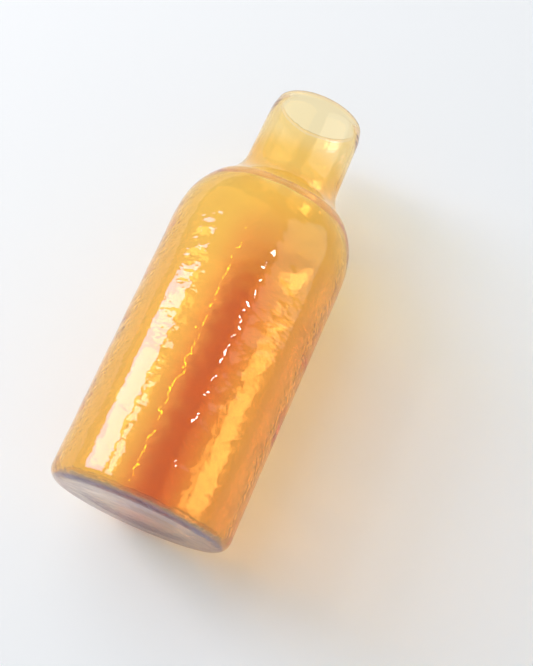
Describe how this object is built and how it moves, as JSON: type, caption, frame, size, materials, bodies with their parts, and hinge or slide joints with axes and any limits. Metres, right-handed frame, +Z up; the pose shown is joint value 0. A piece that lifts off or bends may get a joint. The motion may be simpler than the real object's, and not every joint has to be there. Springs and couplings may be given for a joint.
{
  "type": "glass carafe",
  "caption": "Tall amber glass carafe: straight round body with a rounded heel and a shallow punt, domed shoulder and a short open neck with a fire-polished lip.",
  "frame": {"origin": "centre of the plane that the carafe stands on", "axes": "+Z up the axis, from the base to the mouth; the form is round, so X and Y are any two level directions"},
  "size_m": [0.101, 0.101, 0.25],
  "materials": {
    "amber_glass": "clear amber, gently rippled by the mould, fire-polished"
  },
  "bodies": {
    "root": {"base_punt": "amber_glass", "standing_ring": "amber_glass", "heel": "amber_glass", "body_wall": "amber_glass", "shoulder": "amber_glass", "neck": "amber_glass", "lip": "amber_glass"}
  },
  "joints": []
}
